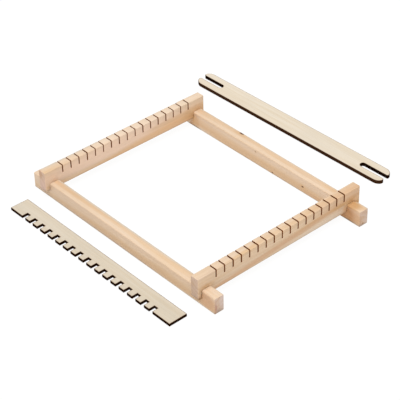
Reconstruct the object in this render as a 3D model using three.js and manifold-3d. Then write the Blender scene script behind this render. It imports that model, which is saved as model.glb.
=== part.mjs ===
// A small beginner's frame loom lying flat, with its two loose tools beside it.
//
// Two side rails lie on the table and two warp beams cross them near their ends. Rails and
// beams are notched half the overlap each, so they lock together without a fastener. A comb
// and a stick shuttle, both cut from plywood, lie left and right of the frame.
//
// Millimetres. X runs along the warp beams, Y along the side rails and Z up. The origin is on
// the table, below the middle of everything that lies on it.

import * as THREE from 'three';
import { mergeVertices } from 'three/addons/utils/BufferGeometryUtils.js';
import Module from 'manifold-3d';

const wasm = await Module();
wasm.setup();

// ---------------------------------------------------------------- driving dimensions

// The side rails, with the span over their outer faces.
const RAIL = { length: 259, width: 10.8, height: 17.1, span: 192.9 };

// How far each rail is turned out of square, its back end towards +X.
const RAIL_TURN = { left: THREE.MathUtils.degToRad(0.25), right: THREE.MathUtils.degToRad(0.6) };

// The warp beams, with the height of their underside and the distance from one to the other.
const BEAM = { length: 202.2, thickness: 9.1, height: 21.6, underside: 9.2, spacing: 216.8 };

// The saw slots that hold the warp threads, cut down from the top of each beam.
const WARP_SLOT = { count: 17, pitch: 10, width: 1.5, depth: 8.2 };

// The flat left where the long edges of the pine bars are eased.
const EASED_EDGE = 0.8;

// Clearance between pieces that touch.
const GAP = 0.3;

// The comb, notched along its left edge. backBlock is the plain length behind the first notch.
const COMB = { length: 229, width: 19.8, thickness: 3, backBlock: 18 };
const COMB_NOTCH = { count: 17, pitch: 11.5, width: 4.5, depth: 6.4 };

// The stick shuttle. Its outer corners are long quarter ellipses, its inner ones small arcs.
const SHUTTLE = { length: 261, width: 23, thickness: 4, cornerLength: 8.5, tipRadius: 1.6 };

// The slot open at each end of the shuttle. Its length includes the round inner end.
const YARN_SLOT = { width: 7.2, length: 32 };

// Where the tools lie: the middle of each, measured from the middle of the frame, and the
// angle the shuttle is turned by.
const COMB_PLACE = { x: -125.5, y: 0 };
const SHUTTLE_PLACE = { x: 156.3, y: 34, turn: THREE.MathUtils.degToRad(0.8) };

// ---------------------------------------------------------------- worked-out dimensions

// Rails and beams overlap in height, and each gives up half of the overlap at the joint.
const lapHeight = (BEAM.underside + RAIL.height) / 2;
const railOffset = (RAIL.span - RAIL.width) / 2;
const beamOffset = BEAM.spacing / 2;

// ---------------------------------------------------------------- solids

function toSolid(geometry) {
  const bare = geometry.index ? geometry.toNonIndexed() : geometry.clone();
  bare.deleteAttribute('normal');
  bare.deleteAttribute('uv');
  const merged = mergeVertices(bare, 1e-4);
  const mesh = new wasm.Mesh({
    numProp: 3,
    vertProperties: new Float32Array(merged.attributes.position.array),
    triVerts: new Uint32Array(merged.index.array),
  });
  return new wasm.Manifold(mesh);
}

function toGeometry(solid) {
  const { vertProperties, triVerts } = solid.getMesh();
  const geometry = new THREE.BufferGeometry();
  geometry.setAttribute('position', new THREE.BufferAttribute(vertProperties, 3));
  geometry.setIndex(new THREE.BufferAttribute(triVerts, 1));
  geometry.computeVertexNormals();
  return geometry;
}

// A box given by its lowest and highest corners.
function block(low, high) {
  const size = high.map((value, axis) => value - low[axis]);
  const middle = high.map((value, axis) => (value + low[axis]) / 2);
  return new THREE.BoxGeometry(...size).translate(...middle);
}

function cut(geometry, cutters) {
  const solid = cutters.reduce((left, cutter) => left.subtract(toSolid(cutter)), toSolid(geometry));
  return toGeometry(solid);
}

// A bar along Y with every edge eased, centred in X and Y, its underside at z = 0.
function easedBar(width, length, height) {
  const x = width / 2;
  const e = EASED_EDGE;
  const section = new THREE.Shape([
    new THREE.Vector2(-x + e, 0),
    new THREE.Vector2(x - e, 0),
    new THREE.Vector2(x, e),
    new THREE.Vector2(x, height - e),
    new THREE.Vector2(x - e, height),
    new THREE.Vector2(-x + e, height),
    new THREE.Vector2(-x, height - e),
    new THREE.Vector2(-x, e),
  ]);
  const geometry = new THREE.ExtrudeGeometry(section, {
    depth: length - 2 * e,
    bevelEnabled: true,
    bevelThickness: e,
    bevelSize: e,
    bevelOffset: -e,
    bevelSegments: 1,
    steps: 1,
  });
  return geometry.rotateX(Math.PI / 2).translate(0, length / 2 - e, 0);
}

// A side rail, with a notch in its top for each warp beam.
function sideRail() {
  const reach = BEAM.thickness / 2 + GAP;
  const notches = [-beamOffset, beamOffset].map((y) => block(
    [-RAIL.width, y - reach, lapHeight],
    [RAIL.width, y + reach, 2 * RAIL.height],
  ));
  return cut(easedBar(RAIL.width, RAIL.length, RAIL.height), notches);
}

// A warp beam, with a notch in its underside for each side rail and saw slots in its top. The
// rails are out of square, so the notches depend on y, the place of the beam.
function warpBeam(y) {
  const reach = RAIL.width / 2 + GAP;
  const notchRoof = lapHeight - BEAM.underside + GAP;
  const crossings = [
    -railOffset + y * Math.tan(RAIL_TURN.left),
    railOffset + y * Math.tan(RAIL_TURN.right),
  ];
  const notches = crossings.map((x) => block(
    [x - reach, -BEAM.thickness, -BEAM.height],
    [x + reach, BEAM.thickness, notchRoof],
  ));
  const slots = [];
  for (let i = 0; i < WARP_SLOT.count; i += 1) {
    const x = (i - (WARP_SLOT.count - 1) / 2) * WARP_SLOT.pitch;
    slots.push(block(
      [x - WARP_SLOT.width / 2, -BEAM.thickness, BEAM.height - WARP_SLOT.depth],
      [x + WARP_SLOT.width / 2, BEAM.thickness, 2 * BEAM.height],
    ));
  }
  const bar = easedBar(BEAM.thickness, BEAM.length, BEAM.height).rotateZ(Math.PI / 2);
  return cut(bar, [...notches, ...slots]);
}

function sheet(shape, thickness) {
  return new THREE.ExtrudeGeometry(shape, {
    depth: thickness,
    bevelEnabled: false,
    curveSegments: 8,
    steps: 1,
  });
}

// The comb: a plain strip with square notches along its left edge, the first one at the back.
function comb() {
  const x = COMB.width / 2;
  const y = COMB.length / 2;
  const shape = new THREE.Shape();
  shape.moveTo(-x, -y);
  shape.lineTo(x, -y);
  shape.lineTo(x, y);
  shape.lineTo(-x, y);
  for (let i = 0; i < COMB_NOTCH.count; i += 1) {
    const back = y - COMB.backBlock - i * COMB_NOTCH.pitch;
    const front = back - COMB_NOTCH.width;
    shape.lineTo(-x, back);
    shape.lineTo(-x + COMB_NOTCH.depth, back);
    shape.lineTo(-x + COMB_NOTCH.depth, front);
    shape.lineTo(-x, front);
  }
  return sheet(shape, COMB.thickness);
}

// The stick shuttle. One end is drawn as a list of points from the left edge round both
// prongs and their slot to the right edge, and the other end is the same list turned by half
// a turn.
function shuttle() {
  const tip = SHUTTLE.tipRadius;
  const edge = SHUTTLE.width / 2;
  const slot = YARN_SLOT.width / 2;
  const front = -SHUTTLE.length / 2;
  const slotEnd = front + YARN_SLOT.length - slot;
  const prong = slot + tip;
  const quarter = Math.PI / 2;
  const end = new THREE.Path();
  end.moveTo(-edge, front + SHUTTLE.cornerLength);
  end.absellipse(
    -prong, front + SHUTTLE.cornerLength, edge - prong, SHUTTLE.cornerLength,
    2 * quarter, 3 * quarter, false, 0,
  );
  end.absarc(-prong, front + tip, tip, 3 * quarter, 4 * quarter, false);
  end.absarc(0, slotEnd, slot, 2 * quarter, 0, true);
  end.absarc(prong, front + tip, tip, 2 * quarter, 3 * quarter, false);
  end.absellipse(
    prong, front + SHUTTLE.cornerLength, edge - prong, SHUTTLE.cornerLength,
    3 * quarter, 4 * quarter, false, 0,
  );
  const frontPoints = end.getPoints(10);
  const backPoints = frontPoints.map((point) => point.clone().negate());
  return sheet(new THREE.Shape([...frontPoints, ...backPoints]), SHUTTLE.thickness);
}

// ---------------------------------------------------------------- materials and assembly

const pine = { color: 0xe3bd90, roughness: 0.62, metalness: 0 };
const plywood = { color: 0xe6d6bb, roughness: 0.66, metalness: 0 };

function piece(name, geometry, finish, x, y, z, turn = 0) {
  const mesh = new THREE.Mesh(geometry, new THREE.MeshStandardMaterial(finish));
  mesh.name = name;
  mesh.position.set(x, y, z);
  mesh.rotation.z = turn;
  return mesh;
}

const frame = new THREE.Group();
frame.add(piece('left_side_rail', sideRail(), pine, -railOffset, 0, 0, -RAIL_TURN.left));
frame.add(piece('right_side_rail', sideRail(), pine, railOffset, 0, 0, -RAIL_TURN.right));
for (const [name, y] of [['front_warp_beam', -beamOffset], ['back_warp_beam', beamOffset]]) {
  frame.add(piece(name, warpBeam(y), pine, 0, y, BEAM.underside));
}

const tools = new THREE.Group();
tools.add(piece('weaving_comb', comb(), plywood, COMB_PLACE.x, COMB_PLACE.y, 0));
const { x, y, turn } = SHUTTLE_PLACE;
tools.add(piece('stick_shuttle', shuttle(), plywood, x, y, 0, turn));

const loom = new THREE.Group();
loom.add(frame, tools);

// Centre everything over the origin.
const extent = new THREE.Box3().setFromObject(loom, true);
const middle = extent.getCenter(new THREE.Vector3());
loom.position.set(-middle.x, -middle.y, 0);

export default loom;
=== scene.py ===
"""A small beginner's frame loom with its comb and stick shuttle, on a white studio table.

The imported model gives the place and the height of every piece. Each of its nodes is replaced by a
finer mesh: pine bars with rounded edges and sawn slots, and two plywood tools with singed,
laser-cut edges. Lengths are in millimetres until they reach a mesh, an object or the camera.
"""

import math
import random

import bmesh
import bpy
from mathutils import Matrix, Vector


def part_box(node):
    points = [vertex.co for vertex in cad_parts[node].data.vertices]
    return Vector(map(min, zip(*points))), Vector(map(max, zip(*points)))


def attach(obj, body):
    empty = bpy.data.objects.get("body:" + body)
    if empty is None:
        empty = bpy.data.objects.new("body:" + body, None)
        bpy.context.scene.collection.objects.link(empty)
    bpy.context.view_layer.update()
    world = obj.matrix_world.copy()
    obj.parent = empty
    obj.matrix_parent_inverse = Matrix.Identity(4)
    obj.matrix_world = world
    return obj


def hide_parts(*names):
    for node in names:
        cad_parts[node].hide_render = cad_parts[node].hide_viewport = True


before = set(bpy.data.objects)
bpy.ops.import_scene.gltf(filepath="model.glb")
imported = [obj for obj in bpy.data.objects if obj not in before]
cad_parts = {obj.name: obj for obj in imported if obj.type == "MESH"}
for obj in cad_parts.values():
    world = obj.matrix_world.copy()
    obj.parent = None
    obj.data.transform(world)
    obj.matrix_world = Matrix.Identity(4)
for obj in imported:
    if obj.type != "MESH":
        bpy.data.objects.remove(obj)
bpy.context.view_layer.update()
scene = bpy.context.scene
MM = 0.001

# ---------------------------------------------------------------- sizes, in millimetres

RAIL_WIDTH = 10.8
RAIL_LENGTH = 259.0
RAIL_EDGE_RADIUS = 1.1
# How far each rail lies out of square, its back end towards +X.
LEFT_TURN = math.radians(0.25)
RIGHT_TURN = math.radians(0.6)

BEAM_EDGE_RADIUS = 0.9
WARP_SLOTS = 17
WARP_SLOT_PITCH = 10.0
WARP_SLOT_DEPTH = 8.2
FRONT_WARP_SLOT_WIDTH = 1.5
BACK_WARP_SLOT_WIDTH = 1.2
# The errors of the saw: the range of each slot's place, and the most of its half width and depth.
SAW_PLACE = (0.15, 0.35)
SAW_HALF_WIDTH = 0.06
SAW_DEPTH = 0.25

END_EDGE_RADIUS = 0.5
# The easing of the edges that a cut leaves, which turn by more than CUT_ANGLE.
CUT_EDGE = 0.12
CUT_ANGLE = math.radians(50.0)
# The clearance in the halving joints, wider on the -X side of each rail.
JOINT_GAP = 0.2
LOOSE_GAP = 0.4
# How far a cutter reaches past the beam it cuts.
OVERCUT = 5

COMB_NOTCHES = 17
COMB_NOTCH_PITCH = 11.5
COMB_NOTCH_WIDTH = 4.5
COMB_NOTCH_DEPTH = 6.4
COMB_BACK_BLOCK = 18.0

SHUTTLE_LENGTH = 261.0
SHUTTLE_WIDTH = 23.0
SHUTTLE_TURN = math.radians(0.8)
SHUTTLE_CORNER = 8.5
SHUTTLE_TIP = 1.6
# Both ends are cut out of square: their points lie further back by SHUTTLE_SKEW for every
# millimetre past SHUTTLE_SKEW_X.
SHUTTLE_SKEW = 0.12
SHUTTLE_SKEW_X = -5.2
YARN_SLOT_WIDTH = 6.5
YARN_SLOT_SHIFT = -0.35
# How deep the yarn slots reach, with their round inner ends.
FRONT_YARN_SLOT = 32.8
BACK_YARN_SLOT = 31.2
# The stretch along X, with the slots and the tip of the right prong, whose edge is sootier and
# darkened further with painted shade, for the shadow in the narrow yarn slots.
SOOT_AND_SHADE_SPAN = (-4.6, 7.5)
# How many straight pieces make up each arc of an end.
CORNER_STEPS = 14
TIP_STEPS = 8
SLOT_STEPS = 20

PLIES = 3
# The rim of a laser-cut sheet from its face outwards: (distance from the edge, singe).
SINGED_RIM = ((1.1, 0.0), (0.5, 0.5), (0.2, 1.0))
# The height of the small slope between a face and the edge.
ARRIS = 0.1

# Edges that turn by more than this are shaded sharp.
SHARP_BAR = math.radians(35.0)
SHARP_SHEET = math.radians(30.0)

# How near two places have to be to count as one: metres on a mesh, millimetres in an outline.
SAME_PLACE = 1e-7
SAME_POINT = 1e-4

# The axis that a bar runs along.
ALONG_X = 0
ALONG_Y = 1

# The materials of a bar and of a sheet, by their index. The faces of a sheet keep index 0.
PLANED = 0
SAWN = 1
EDGE = 1
SOOT_AND_SHADE_EDGE = 2


def box_mm(node):
    """The node's lowest and highest corners."""
    low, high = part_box(node)
    return low / MM, high / MM


# ---------------------------------------------------------------- shader helpers


def scaled(colour, share):
    return tuple(value * share for value in colour)


class Shader:
    """Short calls for building a material's node tree."""

    def __init__(self, name):
        self.material = bpy.data.materials.new(name)
        self.material.use_nodes = True
        self.nodes = self.material.node_tree.nodes
        self.links = self.material.node_tree.links
        self.nodes.clear()
        output = self.nodes.new("ShaderNodeOutputMaterial")
        self.surface = self.nodes.new("ShaderNodeBsdfPrincipled")
        self.links.new(self.surface.outputs[0], output.inputs[0])

    def set(self, socket, value):
        """Links the socket to value, or holds it at value if that is a constant."""
        if isinstance(value, bpy.types.NodeSocket):
            self.links.new(value, socket)
        elif socket.type == "RGBA" and len(value) == 3:
            socket.default_value = (*value, 1.0)
        else:
            socket.default_value = value

    def maths(self, operation, *values, clamp=False):
        node = self.nodes.new("ShaderNodeMath")
        node.operation = operation
        node.use_clamp = clamp
        for socket, value in zip(node.inputs, values):
            self.set(socket, value)
        return node.outputs[0]

    def vector(self, operation, *values):
        node = self.nodes.new("ShaderNodeVectorMath")
        node.operation = operation
        for socket, value in zip(node.inputs, values):
            self.set(socket, value)
        return node.outputs["Value" if operation == "LENGTH" else "Vector"]

    def combine(self, x, y, z):
        node = self.nodes.new("ShaderNodeCombineXYZ")
        for socket, value in zip(node.inputs, (x, y, z)):
            self.set(socket, value)
        return node.outputs[0]

    def separate(self, vector):
        node = self.nodes.new("ShaderNodeSeparateXYZ")
        self.set(node.inputs[0], vector)
        return node.outputs

    def turned(self, vector, angle):
        """The vector turned about Z."""
        node = self.nodes.new("ShaderNodeVectorRotate")
        node.rotation_type = "Z_AXIS"
        self.set(node.inputs["Vector"], vector)
        node.inputs["Angle"].default_value = angle
        return node.outputs[0]

    def noise(self, vector, detail=2.0, roughness=0.5):
        node = self.nodes.new("ShaderNodeTexNoise")
        self.set(node.inputs["Vector"], vector)
        node.inputs["Scale"].default_value = 1.0
        node.inputs["Detail"].default_value = detail
        node.inputs["Roughness"].default_value = roughness
        return node.outputs["Fac"]

    def grain(self, vector, scale, detail=2.0, roughness=0.5):
        """Noise whose size along each axis is one over scale."""
        return self.noise(self.vector("MULTIPLY", vector, scale), detail, roughness)

    def smooth(self, value, low, high, to_low=0.0, to_high=1.0):
        """An S-shaped step from to_low to to_high while value goes from low to high."""
        node = self.nodes.new("ShaderNodeMapRange")
        node.interpolation_type = "SMOOTHSTEP"
        for socket, number in zip(node.inputs, (value, low, high, to_low, to_high)):
            self.set(socket, number)
        return node.outputs[0]

    def ramp(self, value, stops):
        node = self.nodes.new("ShaderNodeValToRGB")
        elements = node.color_ramp.elements
        while len(elements) < len(stops):
            elements.new(0.5)
        for element, (position, colour) in zip(elements, stops):
            element.position = position
            element.color = (*colour, 1.0)
        self.set(node.inputs[0], value)
        return node.outputs[0]

    def mix(self, amount, first, second, blend="MIX"):
        """A mix of colours, which are inputs 6 and 7 and output 2 of the node."""
        node = self.nodes.new("ShaderNodeMix")
        node.data_type = "RGBA"
        node.blend_type = blend
        self.set(node.inputs[0], amount)
        self.set(node.inputs[6], first)
        self.set(node.inputs[7], second)
        return node.outputs[2]

    def shaded(self, colour, shade):
        """The colour times shade."""
        return self.mix(1.0, colour, self.combine(shade, shade, shade), "MULTIPLY")

    def millimetres(self):
        """The point on the piece, in millimetres."""
        node = self.nodes.new("ShaderNodeTexCoord")
        return self.vector("MULTIPLY", node.outputs["Object"], (1 / MM, 1 / MM, 1 / MM))

    def finish(self, colour, roughness, specular, relief, strength, depth):
        """The material, with a bump of relief that is depth metres deep at full strength."""
        node = self.nodes.new("ShaderNodeBump")
        node.inputs["Strength"].default_value = strength
        node.inputs["Distance"].default_value = depth
        self.set(node.inputs["Height"], relief)
        inputs = self.surface.inputs
        self.set(inputs["Base Color"], colour)
        self.set(inputs["Roughness"], roughness)
        self.set(inputs["Normal"], node.outputs[0])
        inputs["Specular IOR Level"].default_value = specular
        return self.material


# ---------------------------------------------------------------- pine

PINE_PALE = (0.7, 0.515, 0.35)
PINE_LATE = (0.65, 0.445, 0.27)
PINE_PINK = (0.67, 0.515, 0.39)
PINE_AMBER = (0.64, 0.42, 0.22)
RESIN_CANAL = (0.45, 0.27, 0.14)
KNOT = (0.16, 0.075, 0.04)
KNOT_HALO = (0.6, 0.36, 0.17)
END_PINK = (0.86, 0.84, 0.92)
END_RING = (0.5, 0.33, 0.22)
END_PORE = (0.42, 0.31, 0.24)

CREAM = (0.735, 0.585, 0.445)
ROSE = (0.72, 0.545, 0.405)
HONEY = (0.645, 0.425, 0.245)
GOLD = (0.74, 0.46, 0.25)
RUST = (0.6, 0.36, 0.205)
BLUSH = (0.82, 0.59, 0.44)
# Painted shade for the far top edges, which face away from the light.
FAR_EDGE_SHADE = (0.62, 0.52, 0.41)
TAN = (0.585, 0.355, 0.17)
# Painted shade for the lowest part of the rails' sides, near the table.
LOW_SIDE_SHADE = (0.56, 0.4, 0.28)
PETAL = (0.75, 0.61, 0.485)
# Painted shadow in the corners of the halving joints.
JOINT_SHADOW = (0.33, 0.17, 0.065)
SIENNA = (0.45, 0.23, 0.1)
OCHRE = (0.55, 0.315, 0.135)
# Painted shade along the rails' lowest edge beside the beams.
JOINT_FOOT_SHADE = (0.25, 0.165, 0.1)
REDDISH = (0.5, 0.25, 0.175)
# Painted shade for the lowest edges of the rails' ends and front stubs.
LOW_EDGE_SHADE = (0.47, 0.35, 0.25)
AMBER = (0.56, 0.3, 0.11)


def tone(at, reach, tint, amount, slope=0.0):
    """A long patch of other-coloured wood; some patches are painted shade and painted highlight. at
    and reach are (across, up, along) the bar, and slope is how far the patch climbs per millimetre
    along the bar."""
    return at, reach, tint, amount, slope


def round_knots(s, base, warped, knots):
    """The warped grain, pushed out round each knot, and a vector of (knot, halo) masks."""
    mask = None
    for across, up, along, size in knots:
        away = s.vector("SUBTRACT", base, (across, up, along))
        away = s.vector("MULTIPLY", away, (1.0, 1.0, 0.55))
        reach = s.vector("LENGTH", away)
        core = s.smooth(reach, size * 0.55, size * 1.1, 1.0, 0.0)
        halo = s.smooth(reach, size * 0.6, size * 3.4, 1.0, 0.0)
        push = s.maths("MULTIPLY", halo, size * 1.5)
        warped = s.vector("ADD", warped, s.combine(push, push, 0.0))
        both = s.combine(core, halo, 0.0)
        mask = both if mask is None else s.vector("MAXIMUM", mask, both)
    return warped, mask


def late_wood(s, warped, pith, ring_width, seed):
    """How far the point is into late wood, the darker part of each growth ring."""
    from_pith = s.vector("SUBTRACT", warped, (*pith, 0.0))
    from_pith = s.vector("MULTIPLY", from_pith, (1.0, 1.0, 0.0))
    radius = s.vector("LENGTH", from_pith)
    uneven = s.noise(s.combine(s.maths("MULTIPLY", radius, 0.16), seed, 0.0), 3.0)
    rings = s.maths("MULTIPLY_ADD", uneven, 2.4, s.maths("DIVIDE", radius, ring_width))
    ring = s.maths("FRACT", rings)
    late = s.smooth(ring, 0.2, 0.86)
    late = s.maths("MULTIPLY", late, s.smooth(ring, 0.86, 1.0, 1.0, 0.0))
    strength = s.noise(s.combine(s.maths("MULTIPLY", radius, 0.09), 4.0, seed), 1.0)
    return s.maths("MULTIPLY", late, s.smooth(strength, 0.3, 0.7, 0.25, 1.0))


def toned(s, colour, place, length, streak, tones):
    """The colour with its patches of paler and darker wood, painted shade and painted highlight."""
    for at, reach, tint, amount, slope in tones:
        climb = s.maths("MULTIPLY", length, -slope)
        away = s.vector("ADD", place, s.combine(0.0, climb, 0.0))
        away = s.vector("DIVIDE", s.vector("SUBTRACT", away, at), reach)
        near = s.smooth(s.vector("LENGTH", away), 0.35, 1.0, 1.0, 0.0)
        veined = s.smooth(streak, 0.25, 0.75, amount * 0.8, amount * 1.1)
        colour = s.mix(s.maths("MULTIPLY", near, veined, clamp=True), colour, tint)
    return colour


def end_grained(s, colour, along, base, late):
    """The colour, duller and pinker and with open pores on the two ends of the bar."""
    normal = s.nodes.new("ShaderNodeNewGeometry").outputs["Normal"]
    facing = s.separate(normal)[along]
    end = s.smooth(s.maths("ABSOLUTE", facing), 0.6, 0.95)
    pores = s.grain(base, (5.0, 5.0, 5.0))
    end_colour = s.mix(1.0, colour, END_PINK, "MULTIPLY")
    end_colour = s.mix(s.maths("MULTIPLY", late, 0.35), end_colour, END_RING)
    end_colour = s.mix(s.smooth(pores, 0.55, 0.8, 0.0, 0.35), end_colour, END_PORE)
    return s.mix(end, colour, end_colour)


def pine(name, along, low, high, pith, ring_width, seed, turn=0.0, knots=(), tones=()):
    """Planed pine, for a bar that reaches from low to high and lies turned by turn. The rings
    are cylinders about a line along the bar through pith, (across, up) from its middle. Each
    of the knots is (across, up, along, size), and each of the tones is made by tone()."""
    s = Shader(name)
    middle = (low + high) / 2
    place = s.turned(s.vector("SUBTRACT", s.millimetres(), tuple(middle)), turn)
    x, y, z = s.separate(place)
    length, across = (x, y) if along == ALONG_X else (y, x)
    base = s.combine(across, z, length)

    # The grain waves a little, and flows round each knot.
    drift = s.grain(base, (0.03, 0.03, 0.009))
    lean = s.noise(s.vector("MULTIPLY_ADD", base, (0.05, 0.05, 0.016), (seed, 7.0, 3.0)))
    drift = s.maths("MULTIPLY_ADD", drift, 9.0, -4.5)
    lean = s.maths("MULTIPLY_ADD", lean, 7.0, -3.5)
    shift = s.combine(drift, lean, 0.0)
    warped, knot_mask = round_knots(s, base, s.vector("ADD", base, shift), knots)

    # Growth rings, broad streaks, fine fibres and the short dark dashes of the resin canals.
    late = late_wood(s, warped, pith, ring_width, seed)
    streak_at = s.vector("MULTIPLY_ADD", warped, (0.16, 0.16, 0.006), (seed, 0.0, 0.0))
    streak = s.noise(streak_at, 3.0, 0.55)
    amber_at = s.vector("MULTIPLY_ADD", warped, (0.11, 0.11, 0.01), (0.0, seed, 9.0))
    amber = s.noise(amber_at)
    fibre = s.grain(warped, (3.2, 3.2, 0.07), 4.0, 0.65)
    canal = s.grain(base, (2.1, 2.1, 0.13), 1.0)

    colour = s.mix(late, PINE_PALE, PINE_LATE)
    colour = s.mix(s.smooth(streak, 0.5, 0.78, 0.0, 0.75), colour, PINE_PINK)
    colour = s.mix(s.smooth(amber, 0.52, 0.75, 0.0, 0.7), colour, PINE_AMBER)

    # The patches have borders that follow the grain. The lowest edge gets painted shade, darker
    # towards the bottom, where it faces down towards the table.
    soft = s.vector("MULTIPLY_ADD", shift, (0.22, 0.22, 0.0), base)
    colour = toned(s, colour, soft, length, streak, tones)
    shade = s.smooth(fibre, 0.25, 0.75, 0.93, 1.05)
    painted_low_shade = s.smooth(s.maths("ADD", z, high.z - middle.z), 0.7, 2.6, 0.82, 1.0)
    colour = s.shaded(colour, s.maths("MULTIPLY", shade, painted_low_shade))
    colour = s.mix(s.smooth(canal, 0.7, 0.82, 0.0, 0.3), colour, RESIN_CANAL)
    colour = end_grained(s, colour, along, base, late)

    if knot_mask is not None:
        core, halo, _ = s.separate(knot_mask)
        colour = s.mix(s.maths("MULTIPLY", halo, 0.4), colour, KNOT_HALO)
        colour = s.mix(core, colour, KNOT)

    roughness = s.smooth(fibre, 0.3, 0.7, 0.5, 0.66)
    relief = s.maths("MULTIPLY_ADD", late, 0.5, s.maths("MULTIPLY", fibre, 0.8))
    return s.finish(colour, roughness, 0.22, relief, 0.35, 0.00006)


# The dark of the sawn walls is partly toasting and partly painted shade.
SAW_DARK = (0.17, 0.044, 0.007)
SAW_BROWN = (0.25, 0.074, 0.012)
SAW_LIGHT = (0.335, 0.115, 0.024)
SAW_SPECK = (0.1, 0.03, 0.008)


def saw_cut(name):
    """The walls left by the saw: toasted, and darkened further with painted shade for the depth of
    the narrow cuts.
    """
    s = Shader(name)
    place = s.millimetres()
    streak = s.grain(place, (6.0, 0.5, 2.5), 3.0, 0.6)
    speck = s.grain(place, (4.0, 4.0, 4.0))
    colour = s.ramp(streak, [(0.3, SAW_DARK), (0.6, SAW_BROWN), (0.8, SAW_LIGHT)])
    colour = s.mix(s.smooth(speck, 0.5, 0.8, 0.0, 0.4), colour, SAW_SPECK)
    return s.finish(colour, s.smooth(speck, 0.3, 0.7, 0.75, 0.9), 0.0, streak, 0.5, 0.0001)


# ---------------------------------------------------------------- plywood

COMB_FACE = (0.6, 0.53, 0.425)
SHUTTLE_FACE = (0.68, 0.6, 0.485)
VENEER_PORE = (0.46, 0.34, 0.22)
SINGED = (0.26, 0.145, 0.07)
COMB_CHAR = (0.019, 0.006, 0.002)
SHUTTLE_CHAR = (0.046, 0.0185, 0.0078)
# Blacker char for the slot walls, with painted shade for the shadow in the narrow slots.
SLOT_CHAR_AND_SHADE = (0.011, 0.0032, 0.001)


def veneer(name, tint, seed):
    """A sanded face veneer, browned along its laser-cut outline."""
    s = Shader(name)
    place = s.vector("ADD", s.millimetres(), (seed, seed * 3.0, 0.0))
    wander = s.grain(place, (0.05, 0.008, 0.05))
    place = s.vector("ADD", place, s.combine(s.maths("MULTIPLY", wander, 10.0), 0.0, 0.0))
    band = s.grain(place, (0.35, 0.006, 0.35), 3.0, 0.55)
    line = s.grain(place, (2.6, 0.05, 2.6), 4.0, 0.6)
    pore = s.grain(place, (5.0, 0.35, 5.0), 1.0)
    cloud = s.grain(place, (0.06, 0.02, 0.06))

    warm = (tint[0] * 0.965, tint[1] * 0.93, tint[2] * 0.87)
    colour = s.mix(s.smooth(band, 0.35, 0.7), scaled(tint, 1.03), warm)
    colour = s.mix(s.smooth(cloud, 0.4, 0.7, 0.0, 0.5), colour, scaled(tint, 0.95))
    colour = s.shaded(colour, s.smooth(line, 0.3, 0.7, 0.955, 1.02))
    colour = s.mix(s.smooth(pore, 0.66, 0.8, 0.0, 0.35), colour, VENEER_PORE)

    node = s.nodes.new("ShaderNodeAttribute")
    node.attribute_name = "singe"
    ragged = s.grain(place, (1.4, 1.4, 1.4), 3.0)
    singe = s.maths("MULTIPLY_ADD", ragged, 0.5, s.maths("ADD", node.outputs["Fac"], -0.25))
    colour = s.mix(s.smooth(singe, 0.2, 0.95, 0.0, 0.85), colour, SINGED)
    return s.finish(colour, s.smooth(line, 0.3, 0.7, 0.52, 0.68), 0.25, line, 0.25, 0.00005)


def burnt_edge(name, low, thickness, char):
    """The laser-cut edge of a sheet that starts at low: charred plies, with paler glue lines
    and a sootier middle ply."""
    s = Shader(name)
    place = s.millimetres()
    height = s.separate(place)[2]
    wobble = s.grain(place, (0.5, 0.5, 0.2))
    level = s.maths("MULTIPLY_ADD", height, PLIES / thickness, -low * PLIES / thickness)
    level = s.maths("ADD", level, s.maths("MULTIPLY_ADD", wobble, 0.3, -0.15))
    ply = s.maths("FRACT", level)
    glue = s.maths("ADD", s.smooth(ply, 0.0, 0.1, 1.0, 0.0), s.smooth(ply, 0.9, 1.0), clamp=True)
    cross = s.smooth(s.maths("FRACT", s.maths("MULTIPLY", level, 0.5)), 0.49, 0.51)
    streak = s.grain(place, (1.0, 1.0, 6.0), 4.0, 0.6)
    stops = [(0.3, scaled(char, 0.62)), (0.6, char), (0.85, scaled(char, 1.7))]
    colour = s.ramp(streak, stops)
    colour = s.mix(s.maths("MULTIPLY", cross, 0.3), colour, scaled(char, 0.45))
    colour = s.mix(s.maths("MULTIPLY", glue, 0.25), colour, scaled(char, 2.1))
    relief = s.maths("SUBTRACT", streak, s.maths("MULTIPLY", glue, 0.6))
    return s.finish(colour, s.smooth(streak, 0.3, 0.8, 0.62, 0.85), 0.0, relief, 0.5, 0.00012)


# ---------------------------------------------------------------- mesh helpers


def mesh_object(name, bm):
    """An object made of bm, which is freed."""
    mesh = bpy.data.meshes.new(name)
    bm.to_mesh(mesh)
    bm.free()
    piece = bpy.data.objects.new(name, mesh)
    scene.collection.objects.link(piece)
    return piece


def shade_smooth(mesh, sharp):
    """Shades the mesh smooth, except at the edges where it bends by more than sharp."""
    for polygon in mesh.polygons:
        polygon.use_smooth = True
    mesh.set_sharp_from_angle(angle=sharp)


def add_box(bm, low, high):
    """Adds a box from low to high, and returns its vertices."""
    size = [(high[i] - low[i]) * MM for i in range(3)]
    middle = [(high[i] + low[i]) / 2 * MM for i in range(3)]
    matrix = Matrix.Translation(middle) @ Matrix.Diagonal((*size, 1.0))
    return bmesh.ops.create_cube(bm, size=1.0, matrix=matrix)["verts"]


def round_edges(bm, edges, radius, segments):
    bmesh.ops.bevel(
        bm, geom=edges, offset=radius * MM, offset_type="OFFSET",
        segments=segments, profile=0.5, affect="EDGES", clamp_overlap=True,
    )


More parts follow.
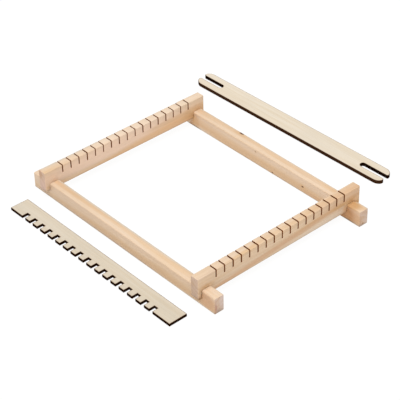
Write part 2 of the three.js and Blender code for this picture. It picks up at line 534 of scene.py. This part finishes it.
def rounded_bar(name, low, high, along, radius):
    """A bar from low to high with rounded long edges and lightly rounded ends."""
    bm = bmesh.new()
    add_box(bm, low, high)
    half = (high[along] - low[along]) / 2 * MM
    long_edges = [e for e in bm.edges if abs((e.verts[0].co - e.verts[1].co)[along]) > half]
    round_edges(bm, long_edges, radius, segments=5)
    ends = [low[along] * MM, high[along] * MM]
    end_edges = [
        e for e in bm.edges
        if any(all(abs(v.co[along] - end) < SAME_PLACE for v in e.verts) for end in ends)
    ]
    round_edges(bm, end_edges, END_EDGE_RADIUS, segments=3)
    return mesh_object(name, bm)


def cutters(name, boxes):
    """One mesh of separate boxes, each (lowest, highest, material index)."""
    bm = bmesh.new()
    for low, high, index in boxes:
        for face in {f for v in add_box(bm, low, high) for f in v.link_faces}:
            face.material_index = index
    return mesh_object(name, bm)


def cut_bar(piece, boxes, materials):
    """Cuts the boxes out of the bar, eases the new edges and shades it."""
    tool = cutters(piece.name + "_cutters", boxes)
    for material in materials:
        piece.data.materials.append(material)
        tool.data.materials.append(material)
    cut = piece.modifiers.new("cut", "BOOLEAN")
    cut.operation = "DIFFERENCE"
    cut.solver = "EXACT"
    cut.object = tool
    ease = piece.modifiers.new("ease", "BEVEL")
    ease.width = CUT_EDGE * MM
    ease.segments = 2
    ease.limit_method = "ANGLE"
    ease.angle_limit = CUT_ANGLE
    ease.miter_outer = "MITER_ARC"
    graph = bpy.context.evaluated_depsgraph_get()
    mesh = bpy.data.meshes.new_from_object(piece.evaluated_get(graph))
    mesh.name = piece.name
    piece.modifiers.clear()
    piece.data = mesh
    shade_smooth(mesh, SHARP_BAR)
    bpy.data.objects.remove(tool)


# ---------------------------------------------------------------- the pine bars

front_low, front_high = box_mm("front_warp_beam")
back_low, back_high = box_mm("back_warp_beam")
left_low, left_high = box_mm("left_side_rail")
right_low, right_high = box_mm("right_side_rail")
left_middle = (left_low + left_high) / 2
right_middle = (right_low + right_high) / 2
# The height where rail and beam meet in the halving joints.
lap = (front_low.z + left_high.z) / 2


def side_rail(name, middle, turn, material):
    """A rail lying out of square by turn, its back end towards +X."""
    half = Vector((RAIL_WIDTH / 2, RAIL_LENGTH / 2, middle.z))
    piece = rounded_bar(name, middle - half, middle + half, ALONG_Y, RAIL_EDGE_RADIUS)
    pivot = Matrix.Translation(middle * MM)
    piece.data.transform(pivot @ Matrix.Rotation(-turn, 4, "Z") @ pivot.inverted())
    boxes = []
    for beam_low, beam_high in ((front_low, front_high), (back_low, back_high)):
        corner = (middle.x - RAIL_WIDTH, beam_low.y - JOINT_GAP, lap)
        far_corner = (middle.x + RAIL_WIDTH, beam_high.y + JOINT_GAP, 3 * lap)
        boxes.append((corner, far_corner, PLANED))
    cut_bar(piece, boxes, [material])
    return piece


def warp_beam(name, low, high, materials, slot_width, seed):
    """A beam notched below for both rails and sawn above for the warp."""
    piece = rounded_bar(name, low, high, ALONG_X, BEAM_EDGE_RADIUS)
    front = low.y - OVERCUT
    back = high.y + OVERCUT
    boxes = []
    for rail_middle, turn in ((left_middle, LEFT_TURN), (right_middle, RIGHT_TURN)):
        x = rail_middle.x + ((low.y + high.y) / 2 - rail_middle.y) * math.tan(turn)
        corner = (x - RAIL_WIDTH / 2 - LOOSE_GAP, front, low.z - OVERCUT)
        far_corner = (x + RAIL_WIDTH / 2 + JOINT_GAP, back, lap + JOINT_GAP)
        # The notch walls take the sawn material, whose dark includes painted shade in the joint
        # gap.
        boxes.append((corner, far_corner, SAWN))
    chance = random.Random(seed)
    middle = (low.x + high.x) / 2
    for i in range(WARP_SLOTS):
        x = middle + (i - (WARP_SLOTS - 1) / 2) * WARP_SLOT_PITCH + chance.uniform(*SAW_PLACE)
        half = slot_width / 2 + chance.uniform(-SAW_HALF_WIDTH, SAW_HALF_WIDTH)
        floor_z = high.z - WARP_SLOT_DEPTH + chance.uniform(-SAW_DEPTH, SAW_DEPTH)
        boxes.append(((x - half, front, floor_z), (x + half, back, high.z + OVERCUT), SAWN))
    cut_bar(piece, boxes, materials)
    return piece


toasted_and_shaded = saw_cut("saw_cut_pine")

left_pine = pine(
    "pine_left_rail", ALONG_Y, left_low, left_high,
    pith=(14.0, -26.0), ring_width=4.6, seed=3.0, turn=LEFT_TURN,
    tones=(
        # Painted highlight: a paler strip along the top's -X edge, which faces the light.
        tone((-3.0, 8.5, 0.0), (2.8, 4.0, 300.0), CREAM, 0.6),
        tone((2.0, 8.5, 90.0), (4.4, 3.0, 130.0), HONEY, 0.65),
        # Painted shade on the far +X top edge.
        tone((5.2, 8.5, 20.0), (3.4, 3.0, 200.0), FAR_EDGE_SHADE, 1.0),
        tone((-5.4, 5.2, 20.0), (3.0, 6.0, 260.0), ROSE, 0.6),
        tone((-5.4, -4.6, -40.0), (4.5, 7.4, 200.0), HONEY, 0.85),
        # Painted shade along the bottom of the side.
        tone((-5.4, -9.0, 40.0), (3.0, 5.0, 180.0), LOW_SIDE_SHADE, 0.95),
        tone((-5.4, -8.8, -110.0), (4.0, 3.4, 90.0), CREAM, 0.9),
        # Amber wood on the side in front of the beam, with painted shade from the beam above.
        tone((-5.4, 1.0, -120.0), (4.0, 11.0, 16.0), RUST, 0.85),
        # Painted shade in the corner where the rail side meets the front beam.
        tone((-5.4, 5.0, -113.2), (3.0, 6.5, 1.5), JOINT_SHADOW, 0.6),
        # Painted shadow on the rail side under the beam's stub.
        tone((-5.4, -108.1, -111.0), (3.0, 1.8, 4.5), JOINT_SHADOW, 0.9, -0.96),
        tone((2.5, 8.5, -122.0), (4.0, 3.0, 14.0), CREAM, 0.8),
        tone((3.5, 1.0, -129.5), (4.5, 11.0, 2.5), PETAL, 1.0),
        # Painted shade along the bottom of the end face.
        tone((-3.0, -8.5, -129.5), (9.0, 6.0, 2.5), LOW_EDGE_SHADE, 0.9),
        tone((-4.4, -5.0, -129.5), (1.5, 6.0, 2.5), RUST, 0.9),
        tone((-3.6, -1.5, -129.5), (1.2, 4.5, 2.0), REDDISH, 0.8),
    ),
)
right_pine = pine(
    "pine_right_rail", ALONG_Y, right_low, right_high,
    pith=(-16.0, -22.0), ring_width=5.0, seed=8.0, turn=RIGHT_TURN,
    knots=(
        (4.2, 8.5, 41.0, 1.8), (-5.4, 5.8, 11.1, 0.5),
        (-5.4, -6.6, -13.3, 0.8), (-5.4, -1.5, -54.7, 1.0), (-0.6, -6.0, -129.6, 0.7),
    ),
    tones=(
        # Painted highlight: a paler strip along the top's -X edge, which faces the light.
        tone((-3.2, 8.5, 0.0), (2.8, 4.0, 300.0), CREAM, 0.7),
        tone((3.0, 8.5, 20.0), (4.4, 4.0, 220.0), HONEY, 0.4),
        # Painted shade on the far +X top edge.
        tone((5.0, 8.5, 0.0), (2.6, 3.0, 300.0), FAR_EDGE_SHADE, 0.6),
        tone((-5.4, 5.0, 0.0), (3.0, 5.0, 260.0), ROSE, 0.6),
        tone((-5.4, -4.6, -20.0), (4.5, 8.4, 300.0), HONEY, 0.85, 0.012),
        tone((-5.4, -5.0, -70.0), (4.0, 2.4, 26.0), RUST, 0.6),
        # Painted shade along the bottom of the side.
        tone((-5.4, -9.2, -20.0), (3.0, 3.4, 120.0), LOW_SIDE_SHADE, 0.7),
        tone((-5.4, -8.4, 120.0), (3.0, 6.0, 70.0), CREAM, 0.8),
        # Ochre wood with painted shade on the side next to the back beam.
        tone((-5.4, -2.0, 101.0), (3.0, 12.0, 9.0), OCHRE, 0.55),
        # Painted shade: a line where the side meets the back beam.
        tone((-5.4, 1.0, 103.4), (3.0, 12.0, 1.6), AMBER, 0.7),
        # Painted shade along the lowest edge by the back beam.
        tone((-5.4, -9.0, 102.0), (3.0, 3.4, 15.0), JOINT_FOOT_SHADE, 1.0),
        # Sienna wood with painted shade on the side under the back beam's stub.
        tone((-5.4, -7.0, 107.0), (3.0, 4.0, 4.0), SIENNA, 0.8),
        # Amber wood on the side in front of the beam, with painted shade from the beam above.
        tone((-5.4, 0.0, -120.0), (4.0, 12.0, 16.0), RUST, 0.8),
        # Ochre wood with painted shade on the top next to the front beam.
        tone((-1.5, 8.5, -115.0), (8.0, 3.0, 16.0), OCHRE, 1.0),
        # Painted shade along the bottom of the side in front of the beam.
        tone((-5.4, -8.5, -120.0), (4.0, 4.5, 18.0), LOW_EDGE_SHADE, 0.6),
        # Sienna wood with painted shade on the side next to the front beam.
        tone((-5.4, -2.5, -112.5), (4.0, 14.0, 14.0), SIENNA, 0.95),
        # Painted shade along the lowest edge by the front beam.
        tone((-5.4, -9.0, -115.0), (4.0, 3.6, 13.0), JOINT_FOOT_SHADE, 1.0),
        # Painted shade in the corner where the top meets the front beam.
        tone((5.2, 8.5, -114.0), (2.2, 3.0, 2.6), JOINT_SHADOW, 0.9),
        tone((3.5, -4.0, -129.5), (4.5, 8.0, 2.5), PETAL, 0.4),
        # Painted shade along the bottom of the end face.
        tone((-3.0, -9.0, -129.5), (7.0, 4.5, 2.5), LOW_EDGE_SHADE, 0.8),
    ),
)
front_pine = pine(
    "pine_front_beam", ALONG_X, front_low, front_high,
    pith=(-18.0, 25.0), ring_width=4.4, seed=14.0,
    tones=(
        tone((2.0, 10.8, -60.0), (6.0, 4.0, 120.0), CREAM, 0.3),
        tone((-2.0, 5.0, 100.0), (8.0, 14.0, 90.0), RUST, 0.55),
        tone((-4.5, -4.0, 10.0), (8.0, 4.0, 220.0), RUST, 0.75, 0.068),
        tone((-4.5, -10.4, 50.0), (4.0, 5.0, 60.0), CREAM, 0.7, 0.05),
        # Tan wood with painted shade on the face beside the left rail's joint.
        tone((-4.5, -2.5, -91.0), (4.0, 5.0, 12.0), TAN, 0.6),
        # Tan wood with painted shade on the face beside the right rail's joint.
        tone((-4.5, -4.0, 91.0), (5.0, 11.0, 14.0), TAN, 0.9),
        # Amber wood with painted shade low on the face round the right rail's joint.
        tone((-4.5, -8.0, 95.0), (5.0, 7.0, 13.0), AMBER, 0.9),
        tone((-4.5, 0.0, 74.0), (4.0, 3.0, 16.0), TAN, 0.7),
        tone((-4.5, -6.0, 83.5), (4.0, 4.0, 7.0), GOLD, 0.6),
        tone((-4.5, -1.5, 96.5), (4.0, 3.6, 6.0), GOLD, 0.7),
        tone((-4.5, 0.5, 40.0), (4.0, 2.4, 60.0), TAN, 0.35),
    ),
)
back_pine = pine(
    "pine_back_beam", ALONG_X, back_low, back_high,
    pith=(20.0, -24.0), ring_width=4.8, seed=21.0,
    tones=(
        tone((0.0, 10.8, 25.0), (9.0, 8.0, 145.0), CREAM, 0.95),
        tone((-4.5, 2.0, -20.0), (4.0, 12.0, 160.0), BLUSH, 0.9),
        tone((-4.5, -13.5, 20.0), (12.0, 12.0, 240.0), GOLD, 0.9, 0.085),
        tone((-4.5, -3.0, 88.0), (5.0, 11.0, 22.0), TAN, 0.5),
        tone((-4.5, 0.5, 55.0), (4.0, 3.5, 42.0), TAN, 0.5),
        # Painted shade on the far +Y top edge.
        tone((4.5, 10.8, -70.0), (3.6, 3.0, 90.0), FAR_EDGE_SHADE, 0.9),
        tone((0.0, -5.0, -101.1), (9.0, 9.0, 3.0), BLUSH, 0.8),
        tone((3.0, 7.5, -101.1), (4.5, 6.0, 3.0), RUST, 0.8),
    ),
)

left_rail = side_rail("pine_left_side_rail", left_middle, LEFT_TURN, left_pine)
right_rail = side_rail("pine_right_side_rail", right_middle, RIGHT_TURN, right_pine)
front_beam = warp_beam(
    "pine_front_warp_beam", front_low, front_high, [front_pine, toasted_and_shaded],
    FRONT_WARP_SLOT_WIDTH, seed=4,
)
back_beam = warp_beam(
    "pine_back_warp_beam", back_low, back_high, [back_pine, toasted_and_shaded],
    BACK_WARP_SLOT_WIDTH, seed=5,
)

# ---------------------------------------------------------------- the plywood tools


def arc(centre, radii, start, end, steps):
    """Points of an ellipse's arc, angles in quarter turns."""
    points = []
    for i in range(steps + 1):
        angle = (start + (end - start) * i / steps) * math.pi / 2
        x = centre[0] + radii[0] * math.cos(angle)
        y = centre[1] + radii[1] * math.sin(angle)
        points.append(Vector((x, y)))
    return points


def inset(outline, distance):
    """The outline, anticlockwise, moved inwards by distance."""
    moved = []
    count = len(outline)
    for i, point in enumerate(outline):
        before = (point - outline[i - 1]).normalized()
        after = (outline[(i + 1) % count] - point).normalized()
        first = Vector((-before.y, before.x))
        second = Vector((-after.y, after.x))
        mitre = (first + second).normalized()
        moved.append(point + mitre * (distance / max(0.5, mitre.dot(first))))
    return moved


def without_repeats(points):
    """The closed outline without points that lie on the one before."""
    kept = [points[0]]
    for point in points[1:]:
        if (point - kept[-1]).length > SAME_POINT:
            kept.append(point)
    if (kept[0] - kept[-1]).length < SAME_POINT:
        kept.pop()
    return kept


def sheet(name, outline, thickness, place, materials, soot_and_shade=(0.0, 0.0)):
    """A flat sheet cut to outline. Its rims carry the singe attribute.

    The materials are those of the face, the edge and the edge within the given stretch of x, which
    is sootier and darkened further with painted shade.
    """
    rings = [(distance, 0.0, singe) for distance, singe in SINGED_RIM]
    edge_bands = range(len(rings) - 1, len(rings) + 2)
    rings.append((0.0, ARRIS, 1.0))
    rings.append((0.0, thickness - ARRIS, 1.0))
    rings += [(distance, thickness, singe) for distance, singe in reversed(SINGED_RIM)]
    bm = bmesh.new()
    layer = bm.verts.layers.float.new("singe")
    loops = []
    for distance, height, singe in rings:
        loop = []
        for point in inset(outline, distance):
            vert = bm.verts.new(place @ Vector((point.x * MM, point.y * MM, height * MM)))
            vert[layer] = singe
            loop.append(vert)
        loops.append(loop)
    count = len(outline)
    for j in range(len(loops) - 1):
        for i in range(count):
            k = (i + 1) % count
            quad = bm.faces.new((loops[j][i], loops[j][k], loops[j + 1][k], loops[j + 1][i]))
            if j in edge_bands:
                left, right = sorted((outline[i].x, outline[k].x))
                sooted_and_shaded = soot_and_shade[0] < left and right < soot_and_shade[1]
                quad.material_index = SOOT_AND_SHADE_EDGE if sooted_and_shaded else EDGE
    bm.faces.new(list(reversed(loops[0])))
    bm.faces.new(loops[-1])
    bmesh.ops.recalc_face_normals(bm, faces=bm.faces)
    piece = mesh_object(name, bm)
    for material in materials:
        piece.data.materials.append(material)
    shade_smooth(piece.data, SHARP_SHEET)
    return piece


def comb_outline(width, length):
    """A strip notched along its left edge, the first notch at the back."""
    x = width / 2
    y = length / 2
    points = [Vector((-x, -y)), Vector((x, -y)), Vector((x, y)), Vector((-x, y))]
    for i in range(COMB_NOTCHES):
        back = y - COMB_BACK_BLOCK - i * COMB_NOTCH_PITCH
        front = back - COMB_NOTCH_WIDTH
        points.append(Vector((-x, back)))
        points.append(Vector((-x + COMB_NOTCH_DEPTH, back)))
        points.append(Vector((-x + COMB_NOTCH_DEPTH, front)))
        points.append(Vector((-x, front)))
    return points


def shuttle_end(slot_length):
    """The front end of the shuttle, from its left edge round both prongs to its right edge."""
    tip = SHUTTLE_TIP
    edge = SHUTTLE_WIDTH / 2
    slot = YARN_SLOT_WIDTH / 2
    front = -SHUTTLE_LENGTH / 2
    left = YARN_SLOT_SHIFT - slot - tip
    right = YARN_SLOT_SHIFT + slot + tip
    end = arc((left, front + SHUTTLE_CORNER), (edge + left, SHUTTLE_CORNER), 2, 3, CORNER_STEPS)
    end += arc((left, front + tip), (tip, tip), 3, 4, TIP_STEPS)
    end += arc((YARN_SLOT_SHIFT, front + slot_length - slot), (slot, slot), 2, 0, SLOT_STEPS)
    end += arc((right, front + tip), (tip, tip), 2, 3, TIP_STEPS)
    end += arc((right, front + SHUTTLE_CORNER), (edge - right, SHUTTLE_CORNER), 3, 4, CORNER_STEPS)
    return end


def shuttle_outline():
    """The whole shuttle. Its ends are a little out of square, the right prongs further back."""
    front = shuttle_end(FRONT_YARN_SLOT)
    back = [-point for point in shuttle_end(BACK_YARN_SLOT)]
    skewed = []
    for point in without_repeats(front + back):
        skewed.append(Vector((point.x, point.y + SHUTTLE_SKEW * (point.x - SHUTTLE_SKEW_X))))
    return skewed


def resting_place(low, high):
    """The middle of the underside of a box."""
    middle = (low + high) / 2
    return Matrix.Translation((middle.x * MM, middle.y * MM, low.z * MM))


comb_low, comb_high = box_mm("weaving_comb")
comb_size = comb_high - comb_low
comb = sheet(
    "plywood_weaving_comb", comb_outline(comb_size.x, comb_size.y), comb_size.z,
    resting_place(comb_low, comb_high),
    [
        veneer("birch_veneer_comb", COMB_FACE, seed=5.0),
        burnt_edge("charred_edge_comb", comb_low.z, comb_size.z, COMB_CHAR),
    ],
)

shuttle_low, shuttle_high = box_mm("stick_shuttle")
shuttle_thickness = shuttle_high.z - shuttle_low.z
shuttle_place = resting_place(shuttle_low, shuttle_high) @ Matrix.Rotation(SHUTTLE_TURN, 4, "Z")
shuttle = sheet(
    "plywood_stick_shuttle", shuttle_outline(), shuttle_thickness, shuttle_place,
    [
        veneer("birch_veneer_shuttle", SHUTTLE_FACE, seed=31.0),
        burnt_edge("charred_edge_shuttle", shuttle_low.z, shuttle_thickness, SHUTTLE_CHAR),
        # The slot walls: sooty char with painted shade.
        burnt_edge("charred_shaded_slot_shuttle", shuttle_low.z, shuttle_thickness, SLOT_CHAR_AND_SHADE),
    ],
    SOOT_AND_SHADE_SPAN,
)

# ---------------------------------------------------------------- riding and replacing

for piece, node, body, finish in (
    (left_rail, "left_side_rail", "side_rails", "pine"),
    (right_rail, "right_side_rail", "side_rails", "pine"),
    (front_beam, "front_warp_beam", "front_beam", "pine"),
    (back_beam, "back_warp_beam", "back_beam", "pine"),
    (comb, "weaving_comb", "comb", "birch_plywood"),
    (shuttle, "stick_shuttle", "shuttle", "birch_plywood"),
):
    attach(piece, body)
    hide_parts(node)

# ---------------------------------------------------------------- studio

WHITE = (1.0, 1.0, 1.0, 1.0)
# Half the table's side and its drop below the loom, in metres, and the glow that keeps it white.
TABLE_REACH = 6.0
TABLE_DROP = 0.0001
TABLE_GLOW = 0.92
TABLE_DARK = (0.075, 0.075, 0.075)
TABLE_PALE = (0.085, 0.085, 0.085)
SKY_STRENGTH = 0.56
SUN_STRENGTH = 2.33
SUN_SPREAD = math.radians(50.0)
SUN_DIRECTION = Vector((0.27, 0.22, -0.937))

floor_bm = bmesh.new()
bmesh.ops.create_grid(floor_bm, x_segments=2, y_segments=2, size=TABLE_REACH)
floor = mesh_object("studio_table", floor_bm)
floor.location.z = -TABLE_DROP
table = Shader("studio_table")
mottle = table.grain(table.millimetres(), (0.01, 0.01, 0.01))
table_colour = table.ramp(mottle, [(0.3, TABLE_DARK), (0.7, TABLE_PALE)])
table.set(table.surface.inputs["Base Color"], table_colour)
table.surface.inputs["Roughness"].default_value = 0.8
table.surface.inputs["Specular IOR Level"].default_value = 0.2
table.surface.inputs["Emission Color"].default_value = WHITE
table.surface.inputs["Emission Strength"].default_value = TABLE_GLOW
floor.data.materials.append(table.material)

world = bpy.data.worlds.new("studio")
world.use_nodes = True
background = world.node_tree.nodes["Background"]
background.inputs["Color"].default_value = WHITE
background.inputs["Strength"].default_value = SKY_STRENGTH
scene.world = world

sun = bpy.data.lights.new("key_light", "SUN")
sun.energy = SUN_STRENGTH
sun.angle = SUN_SPREAD
key = bpy.data.objects.new("key_light", sun)
key.rotation_euler = SUN_DIRECTION.to_track_quat("-Z", "Y").to_euler()
scene.collection.objects.link(key)

# ---------------------------------------------------------------- camera

CAMERA_AZIMUTH = math.radians(41.235)
CAMERA_ELEVATION = math.radians(36.185)
CAMERA_ROLL = math.radians(-1.201)
CAMERA_DISTANCE = 1377.35 * MM
# The point on the table that the camera looks at, from the middle of the frame.
TARGET_X = 5.7
TARGET_Y = 3.7
# The lens and its sensor in millimetres, and the furthest thing it sees in metres.
LENS = 130.0
SENSOR = 36.0
FAR_CLIP = 20.0

frame_middle_x = (front_low.x + front_high.x) / 2
frame_middle_y = (left_low.y + left_high.y) / 2
target = Vector((frame_middle_x + TARGET_X, frame_middle_y + TARGET_Y, 0.0)) * MM
look = Vector((
    math.sin(CAMERA_AZIMUTH) * math.cos(CAMERA_ELEVATION),
    math.cos(CAMERA_AZIMUTH) * math.cos(CAMERA_ELEVATION),
    -math.sin(CAMERA_ELEVATION),
))
right = look.cross(Vector((0.0, 0.0, 1.0))).normalized()
up = right.cross(look)
camera_right = right * math.cos(CAMERA_ROLL) + up * math.sin(CAMERA_ROLL)
camera_up = up * math.cos(CAMERA_ROLL) - right * math.sin(CAMERA_ROLL)
camera_data = bpy.data.cameras.new("camera")
camera_data.sensor_width = SENSOR
camera_data.lens = LENS
camera_data.clip_end = FAR_CLIP
camera = bpy.data.objects.new("camera", camera_data)
facing = Matrix((camera_right, camera_up, -look)).transposed().to_4x4()
camera.matrix_world = Matrix.Translation(target - look * CAMERA_DISTANCE) @ facing
scene.collection.objects.link(camera)
scene.camera = camera

scene.view_settings.view_transform = "Standard"
